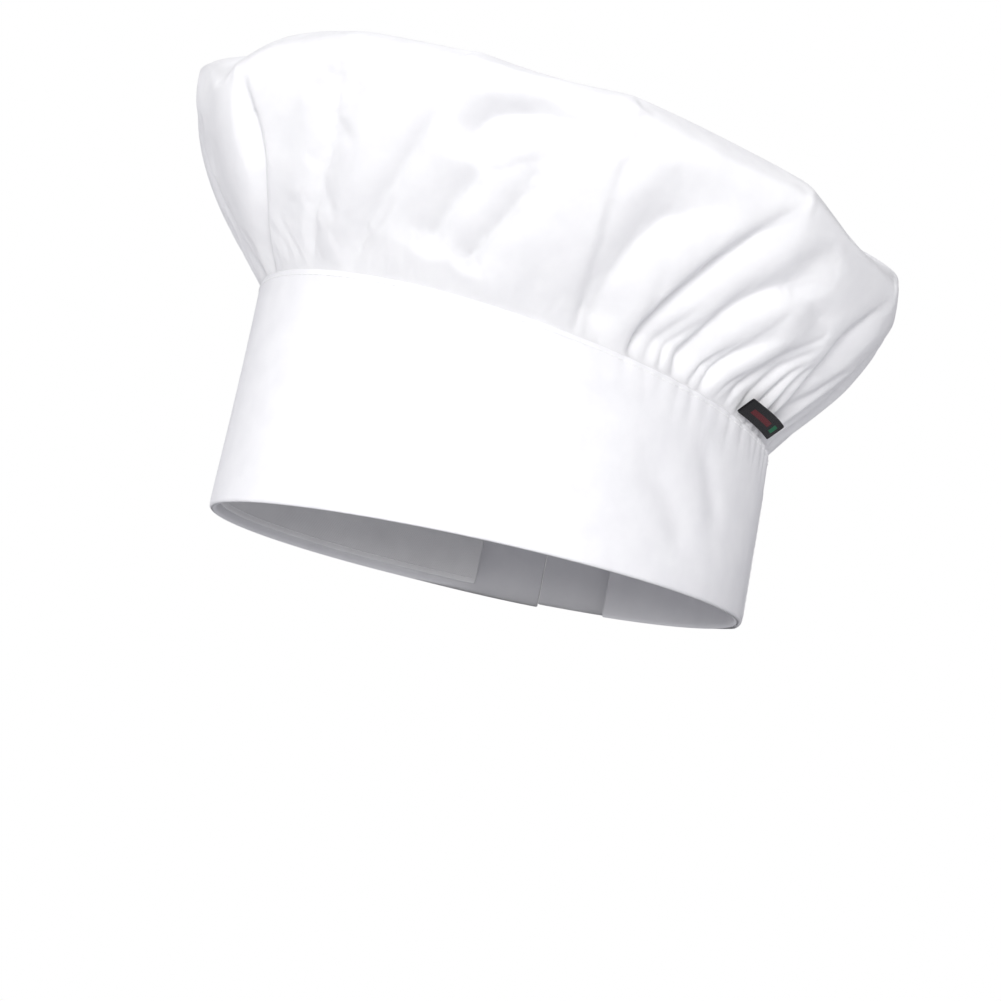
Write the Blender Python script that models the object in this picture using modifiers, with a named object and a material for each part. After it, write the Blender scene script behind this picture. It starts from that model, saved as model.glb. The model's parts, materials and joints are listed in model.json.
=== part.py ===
"""Chef toque: a gathered cotton crown on a folded, stiffened head band that closes at the back with a tab.

Blender 4.5, metres, +Z up. The origin is the centre of the head opening, in the plane of the band's lower edge.
The wearer faces -Y, so +X is the wearer's left and +Y is the back of the head. An angle round the hat is the
parameter of the band's oval: 0 at the front, 90 degrees at the wearer's left and 180 at the back.
"""

import math

import bmesh
import bpy
from mathutils import Vector

MM = 0.001
HAT = "chef_toque"

# The band's outer face at its lower edge is an oval, as a head is.
HALF_WIDTH = 85.0 * MM
HALF_LENGTH = 104.5 * MM
BAND_MEAN_HEIGHT = 71.0 * MM
BAND_HEIGHT_SWING = 12.0 * MM  # higher by this at the front and lower by it at the back
BAND_LEAN = 2.0 * MM  # how far the wall leans in over BAND_LEAN_HEIGHT
BAND_LEAN_HEIGHT = 83.0 * MM

# Thicknesses, and the depth of each layer's middle below the band's outer face.
CLOTH = 0.6 * MM
STIFFENER = 0.8 * MM
CROWN_CLOTH = 0.8 * MM
SWEAT_CLOTH = 0.8 * MM
RIBBON = 0.5 * MM
GAP = 0.3 * MM
OUTER_LAYER = -CLOTH / 2
STIFFENER_LAYER = OUTER_LAYER - CLOTH / 2 - GAP - STIFFENER / 2
FACING_LAYER = STIFFENER_LAYER - STIFFENER / 2 - GAP - CLOTH / 2
SWEAT_LAYER = FACING_LAYER - CLOTH / 2 - GAP - SWEAT_CLOTH / 2
BAND_THICKNESS = -FACING_LAYER + CLOTH / 2
FOLD = CLOTH  # the chamfer that stands for the round of a folded edge

# The crown: a widest ring, the rim, on a plane that falls towards the back, with a low dome above it.
RIM_HALF_WIDTH = 124.0 * MM
RIM_HALF_LENGTH = 134.0 * MM
RIM_MEAN_HEIGHT = 141.0 * MM
RIM_HEIGHT_SWING = 17.0 * MM
DOME_HEIGHT = 21.0 * MM
DOME_POWER = 2.6
CROWN_ALLOWANCE = 8.0 * MM  # the gathered edge that is sewn inside the band
CROWN_STAND = 0.8 * MM  # the crown rises this far above the band before it spreads
FLUTES = 22
FLUTE_DEPTH = 3.0 * MM
CROWN_SEGMENTS = 4 * FLUTES

# The closure at the back. The band's end on the wearer's right steps out, and its tab lies over the other end.
CROWN_COLUMN = math.tau / CROWN_SEGMENTS
UNDER_END = 50 * CROWN_COLUMN
OVER_END = 54 * CROWN_COLUMN
STEP_FADE = math.radians(255)
TAB_ROOT = OVER_END - math.radians(0.25)
TAB_TIP = math.radians(158)
TAB_LOW = 1.0 * MM
TAB_TOP = 55.5 * MM
TAB_CORNER = 8.0 * MM
LOOP_TAPE = 1.2 * MM
HOOK_TAPE = 1.0 * MM
TAPE_HEIGHT = 38.0 * MM
LOOP_FIRST = math.radians(161)
LOOP_LAST = math.radians(203)
HOOK_FIRST = math.radians(160.5)
HOOK_LAST = math.radians(186)
TAPE_LOW = 9.0 * MM
LOOP_LAYER = GAP + LOOP_TAPE / 2
HOOK_LAYER = LOOP_LAYER + LOOP_TAPE / 2 + GAP + HOOK_TAPE / 2
TAB_INNER_FACE = HOOK_LAYER + HOOK_TAPE / 2 + GAP
TAB_STEP = TAB_INNER_FACE + BAND_THICKNESS
SLIT_HEM = 3.0 * MM  # the crown's free edge over the closure is turned up this short

# Labels.
SIDE_LABEL_ANGLE = math.radians(119.5)
SIDE_LABEL_LENGTH = 32.0 * MM
SIDE_LABEL_REACH = 8.0 * MM
SIDE_LABEL_SLOPE = math.radians(42)
SIDE_LABEL_CLOTH = 0.8 * MM
SIDE_LABEL_HINGE = (0.9 * MM, 0.9 * MM)  # out from the band's face, and up from its upper edge
CARE_LABEL_ANGLE = math.radians(150)
CARE_LABEL_WIDTH = 22.0 * MM
CARE_LABEL_GAP = 0.9 * MM  # the label is flat at its fold and the facing behind it is curved
CARE_LABEL_DROP = 40.0 * MM
CARE_LABEL_TOP = 57.0 * MM

# The sweatband round the front of the band's inner face.
SWEAT_END = math.radians(124)
SWEAT_LOW = 3.0 * MM
SWEAT_TOP = 34.0 * MM
THREAD = 0.5 * MM
STITCH_INSET = 2.0 * MM
BARTACK_WIDTH = 1.6 * MM
BARTACK_LENGTH = 9.0 * MM
BARTACK_DEPTH = 0.8 * MM
BARTACK_DROP = 3.5 * MM  # from the band's upper edge down to the bar's end

WHITE_COTTON = (0.90, 0.90, 0.91)
WHITE_NYLON = (0.86, 0.87, 0.88)
STIFFENER_WHITE = (0.83, 0.83, 0.80)
LABEL_BLACK = (0.018, 0.018, 0.020)


def ease(x):
    """0 below 0, 1 above 1, and a smooth rise between."""
    x = min(max(x, 0.0), 1.0)
    return x * x * (3 - 2 * x)


def spread(first, last, count):
    """count numbers from first to last, evenly spaced."""
    return [first + (last - first) * i / (count - 1) for i in range(count)]


def oval(half_width, half_length, angle):
    return Vector((half_width * math.sin(angle), -half_length * math.cos(angle), 0.0))


def outward(angle):
    """The band's outward direction at this angle, level."""
    normal = Vector((HALF_LENGTH * math.sin(angle), -HALF_WIDTH * math.cos(angle), 0.0))
    return normal.normalized()


def band_top(angle):
    return BAND_MEAN_HEIGHT + BAND_HEIGHT_SWING * math.cos(angle)


def band_point(angle, depth, z):
    """A point depth outside the band's outer face, at height z. The wall leans in as it rises."""
    lean = BAND_LEAN * z / BAND_LEAN_HEIGHT
    point = oval(HALF_WIDTH, HALF_LENGTH, angle) + outward(angle) * (depth - lean)
    point.z = z
    return point


def end_step(angle):
    """How far the band stands out near its over-lapping end. The crown's edge steps with it."""
    turn = angle % math.tau
    if turn <= OVER_END:
        return TAB_STEP * ease((turn - UNDER_END) / (OVER_END - UNDER_END))
    return TAB_STEP * ease((STEP_FADE - turn) / (STEP_FADE - OVER_END))


def angles_about(angle, length, count):
    """Angles that span this length along the band's outer face, centred on angle."""
    speed = math.hypot(HALF_WIDTH * math.cos(angle), HALF_LENGTH * math.sin(angle))
    half = length / speed / 2
    return spread(angle - half, angle + half, count)


def new_collection(name):
    collection = bpy.data.collections.new(name)
    bpy.context.scene.collection.children.link(collection)
    return collection


def make_material(name, colour, roughness):
    material = bpy.data.materials.new(name)
    material.use_nodes = True
    shader = material.node_tree.nodes["Principled BSDF"]
    shader.inputs["Base Color"].default_value = (*colour, 1.0)
    shader.inputs["Roughness"].default_value = roughness
    shader.inputs["Metallic"].default_value = 0.0
    return material


def add_cloth(name, bm, thickness, material, parent=None):
    """An object whose mesh is an open sheet, thickened equally to both sides."""
    mesh = bpy.data.meshes.new(name)
    bm.to_mesh(mesh)
    bm.free()
    mesh.materials.append(material)
    cloth = bpy.data.objects.new(name, mesh)
    bpy.data.collections[HAT].objects.link(cloth)
    solidify = cloth.modifiers.new("thickness", "SOLIDIFY")
    solidify.thickness = thickness
    solidify.offset = 0.0
    solidify.use_even_offset = True
    if parent:
        cloth.parent = parent
        cloth.matrix_parent_inverse = parent.matrix_world.inverted()
    return cloth


def swept_sheet(angles, place, rows):
    """A flat grid bent round the hat: place(angle, row) gives each point, for rows 0 to rows - 1."""
    bm = bmesh.new()
    columns = len(angles) - 1
    bmesh.ops.create_grid(bm, x_segments=columns, y_segments=rows - 1, size=0.5)
    for vert in bm.verts:
        column = round((vert.co.x + 0.5) * columns)
        row = round((vert.co.y + 0.5) * (rows - 1))
        vert.co = place(angles[column], row)
    bmesh.ops.recalc_face_normals(bm, faces=bm.faces)
    return bm


def folded_strip(angles, outer, inner, low, top, step):
    """A strip of cloth folded along its lower edge: outer and inner are its two layers' depths."""
    profile = [
        (outer, top),
        (outer, lambda angle: low + FOLD),
        (outer - FOLD, lambda angle: low),
        (inner + FOLD, lambda angle: low),
        (inner, lambda angle: low + FOLD),
        (inner, top),
    ]

    def place(angle, row):
        depth, height = profile[row]
        return band_point(angle, depth + step(angle), height(angle))

    return swept_sheet(angles, place, len(profile))


def band_angles():
    """Round the band from its over-lapping end, by the front, to the end that lies under."""
    return spread(OVER_END - math.tau, UNDER_END, 81)


def make_band(white, stiff_white):
    angles = band_angles()
    cover = folded_strip(
        angles, OUTER_LAYER, FACING_LAYER, CLOTH / 2, band_top, end_step
    )
    add_cloth("band_cover", cover, CLOTH, white)

    low = CLOTH + GAP
    clear = CROWN_ALLOWANCE + CLOTH + GAP

    def stiffener_place(angle, row):
        z = band_top(angle) - clear if row else low
        return band_point(angle, STIFFENER_LAYER + end_step(angle), z)

    inset = math.radians(1)
    stiffener = swept_sheet(
        spread(angles[0] + inset, angles[-1] - inset, 65), stiffener_place, 2
    )
    add_cloth("band_stiffener", stiffener, STIFFENER, stiff_white)


def make_sweatband(white):
    def place(angle, row):
        return band_point(angle, SWEAT_LAYER, (SWEAT_LOW, SWEAT_TOP)[row])

    strip = swept_sheet(spread(-SWEAT_END, SWEAT_END, 49), place, 2)
    add_cloth("sweatband", strip, SWEAT_CLOTH, white)
    depth = SWEAT_LAYER - SWEAT_CLOTH / 2 - GAP - THREAD / 2
    inset = math.radians(1)
    for name, z in (
        ("sweatband_lower_stitching", SWEAT_LOW + STITCH_INSET),
        ("sweatband_upper_stitching", SWEAT_TOP - STITCH_INSET),
    ):
        route = [
            band_point(angle, depth, z)
            for angle in spread(inset - SWEAT_END, SWEAT_END - inset, 61)
        ]
        add_thread(name, route, white)


def add_thread(name, route, material, parent=None):
    """A row of stitching, as the one thread that it is."""
    curve = bpy.data.curves.new(name, "CURVE")
    curve.dimensions = "3D"
    curve.bevel_depth = THREAD / 2
    curve.bevel_resolution = 0
    curve.use_fill_caps = True
    spline = curve.splines.new("POLY")
    spline.points.add(len(route) - 1)
    for point, place in zip(spline.points, route):
        point.co = (*place, 1.0)
    curve.materials.append(material)
    thread = bpy.data.objects.new(name, curve)
    bpy.data.collections[HAT].objects.link(thread)
    if parent:
        thread.parent = parent
        thread.matrix_parent_inverse = parent.matrix_world.inverted()
    return thread


def make_crown_seam_stitching(white):
    """The row that closes the band on the crown: its needle thread outside and its bobbin thread inside."""
    inset = math.radians(1.5)
    angles = band_angles()
    angles[0] += inset
    angles[-1] -= inset
    proud = GAP + THREAD / 2
    for name, depth in (
        ("crown_seam_needle_thread", proud),
        ("crown_seam_bobbin_thread", FACING_LAYER - CLOTH / 2 - proud),
    ):
        route = [
            band_point(angle, depth + end_step(angle), band_top(angle) - STITCH_INSET)
            for angle in angles
        ]
        add_thread(name, route, white)


def seam_point(angle):
    """Where the crown leaves the band, between its outer layer and its facing."""
    depth = STIFFENER_LAYER + end_step(angle)
    return band_point(angle, depth, band_top(angle) + CROWN_STAND)


def crown_side(angle, rise):
    """The crown's gathered side: rise is 0 at the seam and 1 at the rim."""
    seam = seam_point(angle)
    rim = oval(RIM_HALF_WIDTH, RIM_HALF_LENGTH, angle)
    rim.z = RIM_MEAN_HEIGHT + RIM_HEIGHT_SWING * math.cos(angle)
    point = seam.lerp(rim, math.sin(rise * math.pi / 2))
    point.z = seam.z + (rim.z - seam.z) * rise
    flute = FLUTE_DEPTH * math.sin(rise * math.pi) * math.cos(FLUTES * angle)
    return point + outward(angle) * flute


def crown_top(angle, spread_share):
    """The crown's top: spread_share is 0 at its centre and 1 at the rim."""
    share = math.sin(spread_share * math.pi / 2)
    point = oval(RIM_HALF_WIDTH, RIM_HALF_LENGTH, angle) * share
    dome = DOME_HEIGHT * max(1 - share**DOME_POWER, 0.0) ** (1 / DOME_POWER)
    point.z = RIM_MEAN_HEIGHT + RIM_HEIGHT_SWING * share * math.cos(angle) + dome
    return point


def crown_allowance(angle):
    """The crown's edge inside the band, or turned up short where it crosses the closure's slit."""
    beyond = CROWN_COLUMN / 2
    in_slit = UNDER_END - beyond < angle % math.tau < OVER_END + beyond
    depth = STIFFENER_LAYER + end_step(angle)
    return band_point(
        angle, depth, band_top(angle) - (SLIT_HEM if in_slit else CROWN_ALLOWANCE)
    )


def make_crown(white):
    """The crown is cut as one flat round of cloth, whose rings are then carried to their places."""
    top_rows = spread(0.0, 1.0, 9)
    side_rows = [0.82, 0.62, 0.44, 0.28, 0.15, 0.06, 0.0]
    rings = len(top_rows) + len(side_rows) + 1
    bm = bmesh.new()
    spoke = [bm.verts.new((float(ring), 0.0, 0.0)) for ring in range(rings)]
    for inner, outer in zip(spoke, spoke[1:]):
        bm.edges.new((inner, outer))
    bmesh.ops.spin(
        bm,
        geom=bm.verts[:] + bm.edges[:],
        axis=(0, 0, 1),
        cent=(0, 0, 0),
        angle=math.tau,
        steps=CROWN_SEGMENTS,
        use_merge=True,
    )
    bmesh.ops.remove_doubles(bm, verts=bm.verts, dist=0.01)
    for vert in bm.verts:
        ring = round(vert.co.length)
        angle = math.atan2(vert.co.x, -vert.co.y)
        if ring < len(top_rows):
            vert.co = crown_top(angle, top_rows[ring])
        elif ring < rings - 1:
            vert.co = crown_side(angle, side_rows[ring - len(top_rows)])
        else:
            vert.co = crown_allowance(angle)
    bmesh.ops.recalc_face_normals(bm, faces=bm.faces)
    add_cloth("crown", bm, CROWN_CLOTH, white)


def make_slit_binding(white):
    """Tape folded over the crown's free edge, where the slit lets the band change size."""
    drop = SLIT_HEM + CROWN_CLOTH / 2 + GAP

    def place(angle, row):
        top = band_top(angle)
        profile = [
            (OUTER_LAYER, top),
            (OUTER_LAYER, top - drop),
            (FACING_LAYER, top - drop),
            (FACING_LAYER, top),
        ]
        depth, z = profile[row]
        return band_point(angle, depth + end_step(angle), z)

    angles = spread(UNDER_END, OVER_END, 5)
    angles[0] += math.radians(0.5)
    angles[-1] -= math.radians(0.5)
    add_cloth("slit_binding", swept_sheet(angles, place, 4), CLOTH, white)


def tape(angles, depth, thickness, name, material, parent=None):
    def place(angle, row):
        return band_point(angle, depth, TAPE_LOW + TAPE_HEIGHT * row)

    add_cloth(name, swept_sheet(angles, place, 2), thickness, material, parent)


def box_stitching(name, first, last, depth, material, parent=None):
    """The box of stitches that holds a tape, where it shows on the far side of the cloth."""
    low = TAPE_LOW + STITCH_INSET
    high = TAPE_LOW + TAPE_HEIGHT - STITCH_INSET
    angles = spread(first, last, 12)
    route = [band_point(angle, depth, low) for angle in angles]
    route += [band_point(angle, depth, high) for angle in reversed(angles)]
    route.append(band_point(first, depth, low + 2 * THREAD))
    add_thread(name, route, material, parent)


def make_bartacks(white):
    """A dense bar of thread at each end of the crown's slit, which stops it tearing."""
    for name, angle in (
        ("bartack_under_end", UNDER_END - math.radians(2.2)),
        ("bartack_over_end", OVER_END + math.radians(2.2)),
    ):
        low = band_top(angle) - BARTACK_DROP - BARTACK_LENGTH

        def place(place_angle, row):
            z = low + BARTACK_LENGTH * row
            depth = end_step(place_angle) + GAP + BARTACK_DEPTH / 2
            return band_point(place_angle, depth, z)

        bar = swept_sheet(angles_about(angle, BARTACK_WIDTH, 3), place, 2)
        add_cloth(name, bar, BARTACK_DEPTH, white)


def tab_corner(angle):
    """How far the tab's edges draw in at this angle, to round its two free corners."""
    speed = math.hypot(HALF_WIDTH * math.cos(TAB_TIP), HALF_LENGTH * math.sin(TAB_TIP))
    left = TAB_CORNER - min((angle - TAB_TIP) * speed, TAB_CORNER)
    return TAB_CORNER - math.sqrt(TAB_CORNER**2 - left**2)


def make_closure(white, nylon, stiff_white):
    """The tab turns out about its root, where the cloth folds on its outer face."""
    hinge_angle = (TAB_ROOT + OVER_END) / 2
    hinge = bpy.data.objects.new("closure_tab_hinge", None)
    bpy.data.collections[HAT].objects.link(hinge)
    hinge.location = band_point(hinge_angle, TAB_STEP, 0.0)
    bpy.context.view_layer.update()

    outer = TAB_STEP + OUTER_LAYER
    inner = TAB_STEP + FACING_LAYER
    rounds = [TAB_TIP + math.radians(degrees) for degrees in (0, 0.6, 1.6, 3.2, 5.6)]
    angles = rounds + spread(TAB_TIP + math.radians(9), TAB_ROOT, 15)

    def cover_place(angle, row):
        draw = tab_corner(angle)
        low, top = TAB_LOW + CLOTH / 2 + draw, TAB_TOP - CLOTH / 2 - draw
        profile = [
            (outer, low + FOLD),
            (outer, top - FOLD),
            (outer - FOLD, top),
            (inner + FOLD, top),
            (inner, top - FOLD),
            (inner, low + FOLD),
            (inner + FOLD, low),
            (outer - FOLD, low),
            (outer, low + FOLD),
        ]
        depth, z = profile[row]
        return band_point(angle, depth, z)

    cover = swept_sheet(angles, cover_place, 9)
    bmesh.ops.remove_doubles(cover, verts=cover.verts, dist=1e-6)
    add_cloth("tab_cover", cover, CLOTH, white, hinge)

    clear = TAB_CORNER + CLOTH + GAP

    def stiffener_place(angle, row):
        z = (TAB_LOW + clear, TAB_TOP - clear)[row]
        return band_point(angle, TAB_STEP + STIFFENER_LAYER, z)

    inset = math.radians(1)
    stiffener = swept_sheet(
        spread(TAB_TIP + inset, TAB_ROOT - inset, 14), stiffener_place, 2
    )
    add_cloth("tab_stiffener", stiffener, STIFFENER, stiff_white, hinge)

    edge = math.radians(1.2)
    loop = spread(LOOP_FIRST, LOOP_LAST, 11)
    tape(loop, LOOP_LAYER, LOOP_TAPE, "loop_tape", nylon)
    behind = FACING_LAYER - CLOTH / 2 - GAP - THREAD / 2
    box_stitching("loop_tape_stitching", LOOP_FIRST + edge, LOOP_LAST - edge, behind, white)
    hook = spread(HOOK_FIRST, HOOK_LAST, 8)
    tape(hook, HOOK_LAYER, HOOK_TAPE, "hook_tape", nylon, hinge)
    front = TAB_STEP + GAP + THREAD / 2
    box_stitching(
        "hook_tape_stitching", HOOK_FIRST + 3 * edge, HOOK_LAST - edge, front, white, hinge
    )

    depth = TAB_STEP + GAP + THREAD / 2
    far = spread(TAB_ROOT - inset, TAB_TIP + math.radians(3), 22)
    low, top = TAB_LOW + STITCH_INSET, TAB_TOP - STITCH_INSET
    end = TAB_TIP + math.radians(2)
    route = [band_point(angle, depth, low + tab_corner(angle)) for angle in far]
    route += [
        band_point(end, depth, z) for z in spread(low + TAB_CORNER / 2, top - TAB_CORNER / 2, 5)
    ]
    route += [band_point(angle, depth, top - tab_corner(angle)) for angle in reversed(far)]
    add_thread("tab_stitching", route, white, hinge)


def make_side_label(black):
    """A folded ribbon sewn into the crown seam, which stands up against the crown."""
    out, up = SIDE_LABEL_HINGE
    hinge = bpy.data.objects.new("side_label_hinge", None)
    bpy.data.collections[HAT].objects.link(hinge)
    hinge.location = band_point(
        SIDE_LABEL_ANGLE, out, band_top(SIDE_LABEL_ANGLE) + up
    )
    bpy.context.view_layer.update()
    reach = (0.3 * MM, SIDE_LABEL_REACH)

    def place(angle, row):
        depth = out + reach[row] * math.cos(SIDE_LABEL_SLOPE)
        z = band_top(angle) + up + reach[row] * math.sin(SIDE_LABEL_SLOPE)
        return band_point(angle, depth, z)

    angles = angles_about(SIDE_LABEL_ANGLE, SIDE_LABEL_LENGTH, 7)
    add_cloth(
        "side_label", swept_sheet(angles, place, 2), SIDE_LABEL_CLOTH, black, hinge
    )


def make_care_label(white):
    """A satin label that hangs from the facing, beside the closure."""
    depth = FACING_LAYER - CLOTH / 2 - CARE_LABEL_GAP - RIBBON / 2
    hinge = bpy.data.objects.new("care_label_hinge", None)
    bpy.data.collections[HAT].objects.link(hinge)
    hinge.location = band_point(CARE_LABEL_ANGLE, depth, CARE_LABEL_TOP)
    bpy.context.view_layer.update()

    def place(angle, row):
        return band_point(angle, depth, CARE_LABEL_TOP - CARE_LABEL_DROP * row)

    angles = angles_about(CARE_LABEL_ANGLE, CARE_LABEL_WIDTH, 7)
    add_cloth("care_label", swept_sheet(angles, place, 2), RIBBON, white, hinge)
    route = [
        band_point(angle, depth - RIBBON / 2 - GAP - THREAD / 2, CARE_LABEL_TOP - STITCH_INSET)
        for angle in angles_about(CARE_LABEL_ANGLE, CARE_LABEL_WIDTH - STITCH_INSET, 7)
    ]
    add_thread("care_label_stitching", route, white, hinge)


def main():
    for obj in list(bpy.data.objects):
        bpy.data.objects.remove(obj)
    new_collection(HAT)
    white = make_material("white_cotton", WHITE_COTTON, 0.85)
    nylon = make_material("white_nylon", WHITE_NYLON, 0.7)
    stiff_white = make_material("stiffener", STIFFENER_WHITE, 0.9)
    black = make_material("label_black", LABEL_BLACK, 0.6)
    make_band(white, stiff_white)
    make_sweatband(white)
    make_crown(white)
    make_crown_seam_stitching(white)
    make_slit_binding(white)
    make_closure(white, nylon, stiff_white)
    make_bartacks(white)
    make_side_label(black)
    make_care_label(white)


main()
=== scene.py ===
"""The looks of the chef toque, built round its CAD frame: crown, band, closure, labels, cloth and light.

The frame is part.py's: metres, +Z up, the front of the hat at -Y, the wearer's left at +X, and the origin at
the centre of the head opening. Angles round the hat are in degrees here: 0 is the front and 90 is +X.
"""

import json
import math
import random

import bpy
import numpy as np
from mathutils import Matrix, Vector

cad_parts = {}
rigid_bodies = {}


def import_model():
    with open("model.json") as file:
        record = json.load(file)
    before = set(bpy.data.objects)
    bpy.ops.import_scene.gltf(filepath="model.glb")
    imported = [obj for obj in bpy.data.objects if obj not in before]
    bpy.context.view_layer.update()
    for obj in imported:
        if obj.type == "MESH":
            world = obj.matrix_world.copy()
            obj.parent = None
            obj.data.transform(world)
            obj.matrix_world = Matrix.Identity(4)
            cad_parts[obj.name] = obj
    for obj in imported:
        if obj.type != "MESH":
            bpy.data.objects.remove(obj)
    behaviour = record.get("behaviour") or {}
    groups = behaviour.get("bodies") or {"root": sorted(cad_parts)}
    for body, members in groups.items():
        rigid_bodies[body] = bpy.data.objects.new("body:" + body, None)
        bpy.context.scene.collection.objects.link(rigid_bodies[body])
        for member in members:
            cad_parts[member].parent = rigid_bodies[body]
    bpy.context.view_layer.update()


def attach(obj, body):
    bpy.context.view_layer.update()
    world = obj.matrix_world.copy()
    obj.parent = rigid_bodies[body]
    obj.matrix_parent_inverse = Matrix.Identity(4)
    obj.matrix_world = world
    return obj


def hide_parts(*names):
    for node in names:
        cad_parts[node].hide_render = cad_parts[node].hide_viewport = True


MM = 0.001
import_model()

# Camera.
CAMERA_AZIMUTH = 50.0
CAMERA_ELEVATION = -7.0
CAMERA_ROLL = 11.2
CAMERA_DISTANCE = 1.5
VIEW_WIDTH = 357.5 * MM
SENSOR_WIDTH = 36.0  # in mm, as Blender keeps it
AIM_RIGHT = 3.4 * MM
AIM_UP = 25.2 * MM

# The band, as in part.py.
HALF_WIDTH = 85.0 * MM
HALF_LENGTH = 104.5 * MM
BAND_MEAN_HEIGHT = 71.0 * MM
BAND_HEIGHT_SWING = 12.0 * MM
BAND_LEAN = 2.0 / 83.0
CLOTH = 0.6 * MM
OUTER_LAYER = -0.3 * MM
CROWN_LAYER = -1.3 * MM
FACING_LAYER = -2.3 * MM
INNER_FACE = -2.6 * MM
UNDER_END = 204.545
OVER_END = 220.909
STEP_FADE = 255.0  # the angle by which the over end has come back to the oval
TAB_STEP = 5.7 * MM  # how far the over end and the tab stand out

# The crown before it settles.
RIM_HALF_WIDTH = 123.0 * MM
RIM_HALF_LENGTH = 133.0 * MM
RIM_MEAN_HEIGHT = 138.5 * MM
RIM_HEIGHT_SWING = 15.5 * MM
DOME_HEIGHT = 14.0 * MM
DOME_POWER = 2.4
TOP_SLACK = 5.0 * MM
CROWN_COLUMNS = 480
SIDE_ROWS = 48
TOP_ROWS = 30
TOP_HOLE = 0.05  # the top's rows stop this share from the centre, and one small round fills it
SIDE_LENGTH = 86.0 * MM


def ease(x):
    """Rises smoothly from 0 to 1 as x does."""
    x = np.clip(x, 0.0, 1.0)
    return x * x * (3 - 2 * x)


def rad(degrees):
    return np.radians(degrees)


def angle_from(angle, other):
    """How many degrees round from the other angle, from -180 to 180."""
    return (angle - other + 180) % 360 - 180


# ---- camera


def direction_to(azimuth, elevation):
    """From the hat's origin towards this azimuth and elevation, in radians."""
    level = math.cos(elevation)
    return Vector((math.sin(azimuth) * level, -math.cos(azimuth) * level, math.sin(elevation)))


def make_camera():
    azimuth, elevation, roll = map(math.radians, (CAMERA_AZIMUTH, CAMERA_ELEVATION, CAMERA_ROLL))
    back = direction_to(azimuth, elevation)
    right = Vector((math.cos(azimuth), math.sin(azimuth), 0.0))
    up = back.cross(right)
    aim = right * AIM_RIGHT + up * AIM_UP
    data = bpy.data.cameras.new("camera")
    data.sensor_width = SENSOR_WIDTH
    data.lens = SENSOR_WIDTH * CAMERA_DISTANCE / VIEW_WIDTH
    data.clip_start = 0.05
    camera = bpy.data.objects.new("camera", data)
    bpy.context.scene.collection.objects.link(camera)
    turned_right = math.cos(roll) * right + math.sin(roll) * up
    turned_up = -math.sin(roll) * right + math.cos(roll) * up
    rows = zip(turned_right, turned_up, back, aim + back * CAMERA_DISTANCE)
    camera.matrix_world = Matrix([*map(list, rows), [0, 0, 0, 1]])
    bpy.context.scene.camera = camera


# ---- places on the hat


def band_top(angle):
    """The height of the band's upper edge."""
    return BAND_MEAN_HEIGHT + BAND_HEIGHT_SWING * np.cos(rad(angle))


def outward(angle):
    """Level directions straight out from the band's oval."""
    x = HALF_LENGTH * np.sin(rad(angle))
    y = -HALF_WIDTH * np.cos(rad(angle))
    normal = np.stack([x, y, np.zeros_like(x)], axis=-1)
    return normal / np.linalg.norm(normal, axis=-1, keepdims=True)


def band_place(angle, depth, z):
    """Points this far outside the band's outer face, for arrays of angles, depths and heights."""
    angle, depth, z = np.broadcast_arrays(np.asarray(angle, float), depth, z)
    oval = np.stack([HALF_WIDTH * np.sin(rad(angle)), -HALF_LENGTH * np.cos(rad(angle)), z], axis=-1)
    return oval + outward(angle) * (depth - BAND_LEAN * z)[..., None]


def end_step(angle):
    """How far the band stands out near its over-lapping end."""
    turn = np.asarray(angle, float) % 360.0
    rising = ease((turn - UNDER_END) / (OVER_END - UNDER_END))
    falling = ease((STEP_FADE - turn) / (STEP_FADE - OVER_END))
    return TAB_STEP * np.where(turn <= OVER_END, rising, falling)


def angle_span(middle, length):
    """The angle that this length covers along the band's outer face."""
    speed = math.hypot(HALF_WIDTH * math.cos(rad(middle)), HALF_LENGTH * math.sin(rad(middle)))
    return math.degrees(length / speed)


# ---- meshes


def make_object(name, points, faces, material, body, uv=None):
    mesh = bpy.data.meshes.new(name)
    mesh.from_pydata([tuple(p) for p in points], [], faces)
    mesh.polygons.foreach_set("use_smooth", [True] * len(mesh.polygons))
    if uv is not None:
        layer = mesh.uv_layers.new(name="flat_cut")
        loops = np.zeros(len(mesh.loops), np.int32)
        mesh.loops.foreach_get("vertex_index", loops)
        layer.data.foreach_set("uv", np.asarray(uv, np.float32)[loops].ravel())
    mesh.materials.append(material)
    obj = bpy.data.objects.new(name, mesh)
    bpy.context.scene.collection.objects.link(obj)
    obj["rides_on"] = body  # main() reads this once every piece is made
    return obj


def grid_faces(rows, columns):
    """The quads of a grid of points numbered row by row."""
    faces = []
    for row in range(rows - 1):
        for column in range(columns - 1):
            low, high = row * columns + column, (row + 1) * columns + column
            faces.append((low, low + 1, high + 1, high))
    return faces


def thicken(obj, thickness, levels=1):
    """Gives cloth its thickness, half of it on each side, and then smooths it this many times."""
    solidify = obj.modifiers.new("thickness", "SOLIDIFY")
    solidify.thickness = thickness
    solidify.offset = 0.0
    if levels:
        smooth = obj.modifiers.new("smooth", "SUBSURF")
        smooth.levels = levels
        smooth.render_levels = levels


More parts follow.
